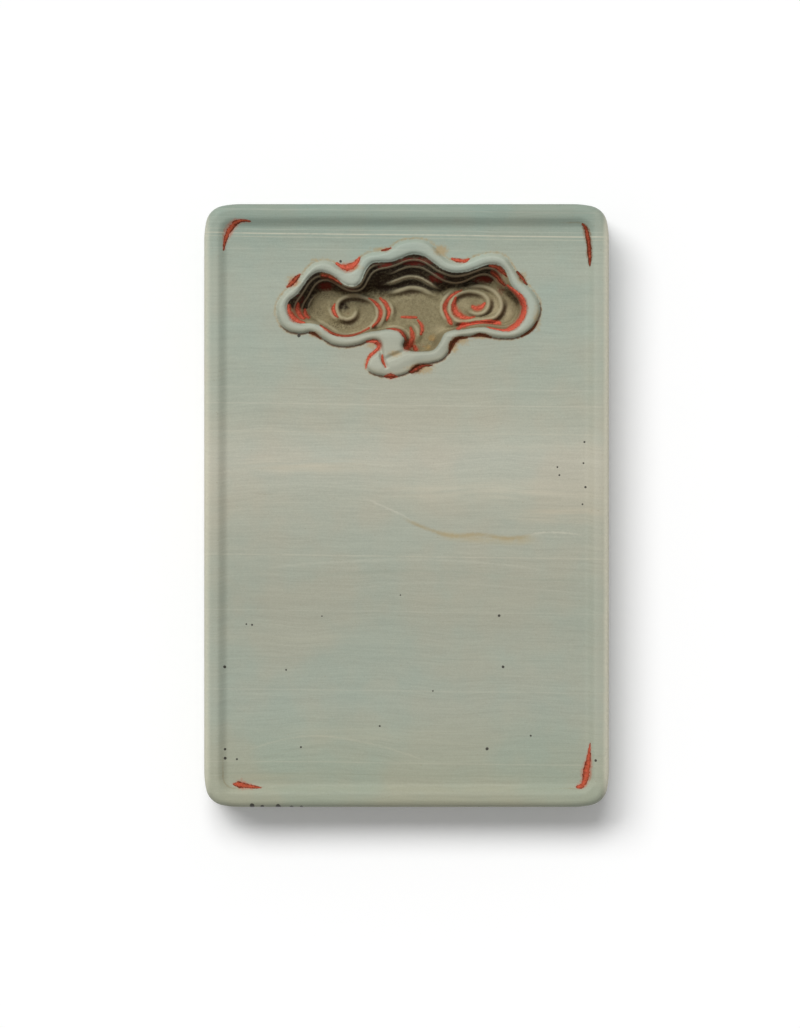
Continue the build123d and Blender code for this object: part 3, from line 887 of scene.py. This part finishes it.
# The pigment in the rim's corners. A thin, flaky crust of red mineral pigment that was ground on the
# stone and has dried where a cloth doesn't reach. It lies on the stone, reaches a little way into its
# surface and carries loose grains. The other crusts are made in the same way.
crust_thick = 0.15
crust_root = 0.25
flake = 0.1
grain_radius = 0.07
grains_per_mm2 = 0.8
rim_corner_strokes_px = [
    (0.5, [[(250, 222.2, 1.5), (243, 221.5, 2.5), (236, 223.5, 5), (231, 228, 6), (227, 235, 5),
            (224.7, 243, 3), (223.6, 251, 1.2)]]),
    (0.6, [[(581, 225, 2), (584, 229, 4), (586, 237, 4.5), (587.5, 246, 4), (588, 256, 4),
            (588.3, 266, 1.5)]]),
    (0.3, [[(588.5, 742, 1), (587.5, 752, 3), (586.5, 762, 5), (585, 771, 7), (584, 778, 5.5),
            (580.5, 784, 5), (576, 785.5, 3)]]),
    (0.4, [[(233.5, 783, 2), (239, 783, 6), (246, 784.5, 4.5), (253, 785.5, 3), (261, 786.3, 1)]]),
]

red_crust, tree, places = new_material("red_crust")
blotch = noise_of(tree, places, 1.7, 4.0, 0.7)
age = scaled(tree, maths(tree, "SUBTRACT", blotch, 0.5), 1.1, paint_of(tree, "age"))
ages = [
    (0.0, (212, 98, 76)), (0.28, (184, 82, 58)), (0.5, (164, 78, 52)), (0.72, (114, 40, 22)),
    (0.95, (82, 46, 20)),
]
darkening = rise_of(tree, noise_of(tree, places, 2.7, 4.0, 0.7), 0.49, 0.66)
shade = blend(tree, times(tree, darkening, 0.6), ramp_of(tree, age, ages), colour(96, 44, 24))
grit = noise_of(tree, places, 7.0, 3.0, 0.7)
finish_material(tree, shade, roughness=0.85, gloss=0.2, relief=grit, strength=0.5, depth=0.12)

# Loose grains, set out over a crust's top
grains = bpy.data.node_groups.new("pigment_grains", "GeometryNodeTree")
grains.interface.new_socket("Geometry", in_out="OUTPUT", socket_type="NodeSocketGeometry")
grains.interface.new_socket("Geometry", in_out="INPUT", socket_type="NodeSocketGeometry")
kinds = {"Density": "NodeSocketFloat", "Radius": "NodeSocketFloat", "Seed": "NodeSocketInt"}
grain_inputs = {
    name: grains.interface.new_socket(name, in_out="INPUT", socket_type=kind).identifier
    for name, kind in kinds.items()
}
given = node(grains, "NodeGroupInput").outputs
normal = node(grains, "GeometryNodeInputNormal").outputs[0]
upward = node(grains, "ShaderNodeSeparateXYZ", {0: normal}).outputs[2]
facing_up = maths(grains, "GREATER_THAN", upward, 0.4)
scattered = node(grains, "GeometryNodeDistributePointsOnFaces", {
    "Mesh": given["Geometry"], "Selection": facing_up, "Density": given["Density"], "Seed": given["Seed"],
}).outputs[0]
grain_shape = node(grains, "GeometryNodeMeshIcoSphere", {"Radius": given["Radius"]}).outputs[0]
sizes = node(grains, "FunctionNodeRandomValue", {2: 0.5, 3: 1.3, "Seed": given["Seed"]}).outputs[1]
spread = node(grains, "GeometryNodeInstanceOnPoints", {
    "Points": scattered, "Instance": grain_shape, "Scale": sizes,
}).outputs[0]
both = node(grains, "GeometryNodeJoinGeometry")
grains.links.new(spread, both.inputs[0])
grains.links.new(given["Geometry"], both.inputs[0])
solid = node(grains, "GeometryNodeRealizeInstances", {0: both.outputs[0]}).outputs[0]
coated = node(grains, "GeometryNodeSetMaterial", {"Geometry": solid, "Material": red_crust}).outputs[0]
node(grains, "NodeGroupOutput", {0: coated})


def cover_of(places, strokes):
    """How well strokes of pigment cover each place: 1 in a stroke's middle, 0 at its edge."""
    cover = np.full(len(places), -9.0)
    for stroke in strokes:
        line = smooth_line(stroke)
        picked, apart, along, _ = close_to(places, line, 1.5)
        half = 0.5 * np.interp(along, np.arange(len(line)), line[:, 2])
        cover[picked] = np.maximum(cover[picked], (half - apart) / np.maximum(half, 0.25))
    return cover


def crust_of(age, strokes, places, faces, ages):
    """Adds the closed crust over strokes that touch to a piece's places and faces. It looks older
    towards its edges."""
    lines = np.vstack([smooth_line(stroke)[:, :2] for stroke in strokes])
    low = lines.min(0) - 1
    across, along = np.ceil((lines.max(0) + 1 - low) / flake).astype(int)
    spots = np.stack(np.meshgrid(np.arange(across), np.arange(along), indexing="ij"), 2).reshape(-1, 2)
    spots = low + spots * flake
    cover = cover_of(spots, strokes)
    known = cover > -1.5
    uneven = 0.26 * patches(spots, 0.8, 11) + 0.22 * patches(spots, 0.3, 12)
    lift = np.where(known, np.clip(cover + uneven, -0.5, 0.75), -1).reshape(across, along)
    height = np.zeros(len(spots))
    height[known] = stone_height(spots[known])
    height = height.reshape(across, along)
    middle = (cover / 0.7).reshape(across, along)
    known = known.reshape(across, along)
    up = lift > 0
    cells = up[:-1, :-1] | up[1:, :-1] | up[:-1, 1:] | up[1:, 1:]
    cells &= known[:-1, :-1] & known[1:, :-1] & known[:-1, 1:] & known[1:, 1:]
    for _ in range(3):
        slant = cells[1:, :-1] & cells[:-1, 1:]
        cells[:-1, :-1] |= slant
        slope = cells[:-1, :-1] & cells[1:, 1:]
        cells[1:, :-1] |= slope
    steep = np.sqrt(1 + np.minimum(np.hypot(*np.gradient(height, flake)), 2.5) ** 2)
    top = np.minimum(height + crust_thick * lift * steep, block_top - 2 * grain_radius)
    index = {}

    def corner(i, j, under):
        if (i, j, under) not in index:
            index[i, j, under] = len(places)
            high = height[i, j] - crust_root if under else top[i, j]
            places.append((*(low + np.array((i, j)) * flake), high))
            ages.append(age + 0.45 * (1 - min(max(middle[i, j], 0), 1)))
        return index[i, j, under]

    for i, j in zip(*np.nonzero(cells)):
        corners = [(i, j), (i + 1, j), (i + 1, j + 1), (i, j + 1)]
        faces.append([corner(*c, False) for c in corners])
        faces.append([corner(*c, True) for c in reversed(corners)])
        for k, (a, b) in enumerate(((i, j - 1), (i + 1, j), (i, j + 1), (i - 1, j))):
            if 0 <= a < cells.shape[0] and 0 <= b < cells.shape[1] and cells[a, b]:
                continue
            start, end = corners[k], corners[(k + 1) % 4]
            above = [corner(*end, False), corner(*start, False)]
            faces.append(above + [corner(*start, True), corner(*end, True)])


red_strength = np.zeros(len(top_spots))
brown_strength = np.zeros(len(top_spots))


def lay_crusts(name, groups, seed):
    """Makes one node's crusts with their grains, and reddens the stone round them. The strokes of a
    group touch, and have an age from 0, bright, to 1, browned by dirt."""
    places, faces, ages = [], [], []
    for age, strokes in groups:
        crust_of(age, strokes, places, faces, ages)
    crust = make_piece(name + "_crust", places, faces)
    crust.data.attributes.new("age", "FLOAT", "POINT").data.foreach_set("value", ages)
    modifier = crust.modifiers.new("grains", "NODES")
    modifier.node_group = grains
    modifier[grain_inputs["Density"]] = grains_per_mm2 / mm**2
    modifier[grain_inputs["Radius"]] = grain_radius * mm
    modifier[grain_inputs["Seed"]] = seed
    grown = crust.evaluated_get(bpy.context.evaluated_depsgraph_get())
    mesh = bpy.data.meshes.new_from_object(grown)
    crust.modifiers.clear()
    crust.data = mesh
    mesh.shade_smooth()
    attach(crust, "root")
    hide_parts(name)
    for age, strokes in groups:
        strength = red_strength if age < 0.6 else brown_strength
        np.maximum(strength, ease((cover_of(top_spots, strokes) + 2.0) / 2.6), out=strength)
    paint("red", red_strength)
    paint("brown", brown_strength)


lay_crusts("red_pigment_rim_corners", rim_corner_strokes_px, seed=1)

# The pigment at the foot of the lip, in the hollows between its lobes.
lip_foot_strokes_px = [
    (0.5, [[(287, 287.5, 2), (292, 283, 5), (297, 277.5, 3.5), (299.5, 275, 1.5)]]),
    (0.1, [[(336, 264, 2), (341, 267, 4), (347, 268, 7), (353, 265.5, 6), (357, 261.5, 3.5),
            (359, 258, 1.5)]]),
    (0.55, [[(381, 251, 1), (385, 250.5, 2.5), (390, 248.5, 1.5)]]),
    (0.15, [[(451, 259.5, 2), (457, 261, 3.5), (464, 261.5, 3), (468, 259.5, 1.2)]]),
    (0.6, [[(516, 272.5, 2), (519.5, 277, 3.5), (523, 282, 3), (525.5, 285, 1.2)]]),
    (0.95, [[(536, 322, 1.5), (532.5, 328, 2.5), (527, 333, 2.5), (520, 337, 1.5)]]),
    (0.9, [[(448.5, 353, 1.5), (450, 347, 4), (453.5, 341.5, 5), (459, 338.5, 3), (466, 338, 1.5)],
           [(471, 337, 1.2), (477, 335.5, 3), (484, 336, 3), (490, 338, 1.5)]]),
    (0.7, [[(408.5, 372, 2), (412, 371, 5.5), (417, 368, 6), (423, 366, 3), (431, 365.5, 1.2)]]),
    (0.35, [[(384, 376.5, 1.5), (390, 376.3, 4.5), (396, 376.8, 1.5)]]),
    (0.1, [[(365.3, 368, 1.5), (366.5, 362, 2.2), (369, 356.5, 3), (374, 352, 3), (378, 348, 3.5),
            (377.5, 344, 4.5), (373, 341.8, 3.5), (366, 342, 1.5)]]),
    (0.95, [[(309, 333, 2), (314, 334.5, 3), (320, 338.5, 1.8)]]),
]
lay_crusts("red_pigment_lip_foot", lip_foot_strokes_px, seed=2)

# The pigment on the left of the pool's wall, in the gutters between the ledges.
left_ledge_strokes_px = [
    (0.1, [[(288.5, 306, 2.5), (289.5, 313, 4.5), (293.5, 318.5, 5.5), (299, 321.8, 3.5), (304, 323, 1.5)],
           [(297.3, 303, 2), (297, 309, 4.5), (299.5, 315, 5), (303, 318, 3)],
           [(304, 309, 2), (304.5, 314, 4), (307.5, 317, 3)]]),
    (0.6, [[(322, 276, 4), (329, 277.5, 3.5), (336, 281.5, 3.5), (341, 285, 1.5)]]),
    (0.3, [[(320, 325.5, 1.5), (326, 330, 2.5), (333, 334, 2.5), (342, 336, 2.5), (352, 335, 2.5),
            (361, 331.5, 2.2), (368, 327.5, 2)]]),
]
lay_crusts("red_pigment_left_terraces", left_ledge_strokes_px, seed=3)

# The pigment on the right of the pool's wall, in its gutter and along the front.
right_ledge_strokes_px = [
    (-0.15, [[(506, 285.5, 1.5), (512, 290.5, 2.5), (518, 296, 3.5), (522, 302, 4.5), (523.3, 309, 4.5),
            (521, 317, 4.8), (515.5, 324.5, 5), (509, 329, 4.5), (503, 330.5, 2.5), (495, 329.3, 1.5),
            (486, 327.3, 1)],
           [(457, 328.5, 3), (462, 325, 5), (470, 323, 3), (480, 321.3, 3), (490, 321, 3.5),
            (499, 322.3, 3.5)]]),
    (0.55, [[(489, 266.5, 1.5), (496, 268, 3), (501, 272, 3), (505.5, 277, 1)],
            [(491, 272, 2.5), (496, 276, 3.5), (500, 281, 3), (504, 285, 2)]]),
]
lay_crusts("red_pigment_right_terrace", right_ledge_strokes_px, seed=4)

# The pigment in the left whorl, along its rings and in its heart.
left_whorl_strokes_px = [
    (0.1, [[(368, 297.5, 1), (374, 301.5, 2.5), (378.7, 307.5, 3.5), (379.8, 313, 3.5), (377.5, 320, 2.8),
            (372, 326, 2)],
           [(379.5, 297.5, 2), (384, 302, 3.5), (387.5, 308, 3.5), (388, 313, 3), (386, 319, 1.5)]]),
    (0.15, [[(333.8, 303, 1), (332.5, 308, 3.2), (333.8, 313, 3.2), (337, 316.5, 1.2)]]),
]
lay_crusts("red_pigment_left_whorl", left_whorl_strokes_px, seed=5)

# The pigment in the right whorl, with a hook and a dash beside it on the pool's floor.
right_whorl_strokes_px = [
    (0.1, [[(461, 289.5, 1), (453.5, 293, 2.5), (447, 299, 3), (444, 306, 3.5), (445.5, 313, 3),
            (449, 320, 4), (450.5, 322.5, 3)],
           [(455, 297, 2), (453.3, 304, 4), (455, 311, 6), (460.5, 315.5, 5), (468, 317, 2.5),
            (474, 316, 1)]]),
    (0.05, [[(472, 306, 3), (476, 307.5, 5), (481, 306, 4), (484, 302.5, 2)]]),
    (0.15, [[(401, 316.3, 2), (408, 316.5, 2.5), (415.5, 316.7, 2)],
            [(417, 319.5, 1.5), (420.5, 324, 3), (421.5, 329, 3), (420.3, 333.5, 2)]]),
]
lay_crusts("red_pigment_right_whorl", right_whorl_strokes_px, seed=6)

# The pigment in the tail of the cloud: round the tongue, down the scroll and in the groove below it.
tail_strokes_px = [
    (0.2, [[(386, 328.8, 1), (393, 329, 2.5), (399, 331, 3.2), (403.3, 335.5, 3), (405, 340, 1.5)],
           [(410, 327, 2), (411.5, 333, 4), (411.3, 339, 4.5), (408.5, 344, 6), (406, 348, 5)],
           [(414, 346, 3.5), (415, 349, 4)]]),
    (0.2, [[(381.5, 355.6, 1.5), (382, 361, 2.5), (384.8, 367.3, 1.5)]]),
]
lay_crusts("red_pigment_tail", tail_strokes_px, seed=7)

# The floor. A plain white sheet that the stone lies on, which keeps the stone's soft shadow.
floor_half = 3000.0
floor_glow = 0.06
floor_corners = [(floor_half * i, floor_half * j, 0) for i, j in ((-1, -1), (1, -1), (1, 1), (-1, 1))]
floor = make_piece("floor", floor_corners, [(0, 1, 2, 3)])
white_sheet = bpy.data.materials.new("white_sheet")
tree = empty_tree(white_sheet)


def seen_directly(tree):
    """1 for what the camera sees straight or in a reflection, and 0 for the light that falls on things."""
    path = node(tree, "ShaderNodeLightPath").outputs
    straight = maths(tree, "MAXIMUM", path["Is Camera Ray"], path["Is Glossy Ray"])
    return maths(tree, "MAXIMUM", straight, path["Is Transmission Ray"])


lit = node(tree, "ShaderNodeBsdfDiffuse", {0: colour(250, 250, 250)}).outputs[0]
glow = node(tree, "ShaderNodeEmission", {0: (1, 1, 1, 1), 1: floor_glow}).outputs[0]
bright = node(tree, "ShaderNodeAddShader", {0: lit, 1: glow}).outputs[0]
dim = node(tree, "ShaderNodeBsdfDiffuse", {0: colour(190, 190, 190)}).outputs[0]
mixed = node(tree, "ShaderNodeMixShader", {0: seen_directly(tree), 1: dim, 2: bright}).outputs[0]
node(tree, "ShaderNodeOutputMaterial", {0: mixed})
floor.data.materials.append(white_sheet)

# The light. A pale room and two soft lamps behind the stone, one of them to the left.
room_light = 0.33
lamp_power = 1.3
lamp_spread = 26
lamp_ways = ((-0.6, 0.62, 1.0), (-0.12, 0.62, 1.0))
room = bpy.data.worlds.new("room")
bpy.context.scene.world = room
tree = empty_tree(room)
levels = {"Value": seen_directly(tree), "To Min": room_light, "To Max": 1.0}
strength = node(tree, "ShaderNodeMapRange", levels).outputs[0]
sky = node(tree, "ShaderNodeBackground", {0: (1, 1, 1, 1), 1: strength}).outputs[0]
node(tree, "ShaderNodeOutputWorld", {0: sky})
for number, toward in enumerate(lamp_ways):
    lamp = add_object(f"lamp_{number}", bpy.data.lights.new(f"lamp_{number}", "SUN"))
    lamp.data.energy = lamp_power
    lamp.data.angle = np.radians(lamp_spread)
    lamp.rotation_euler = mathutils.Vector(toward).to_track_quat("Z", "Y").to_euler()

# The camera. It looks straight down, from far enough that the sides don't show.
lens = 150.0
sensor = 36.0
picture_high_px = 1028
picture_middle_px = (399.2, 513.7)
aim_below_top = 5
camera = add_object("camera", bpy.data.cameras.new("camera"))
camera.data.lens = lens
camera.data.sensor_width = sensor
distance = picture_high_px * pixel * lens / sensor
over_stone = (*on_stone(picture_middle_px), block_top - aim_below_top + distance)
camera.location = np.array(over_stone) * mm
bpy.context.scene.camera = camera
bpy.context.scene.view_settings.view_transform = "Standard"
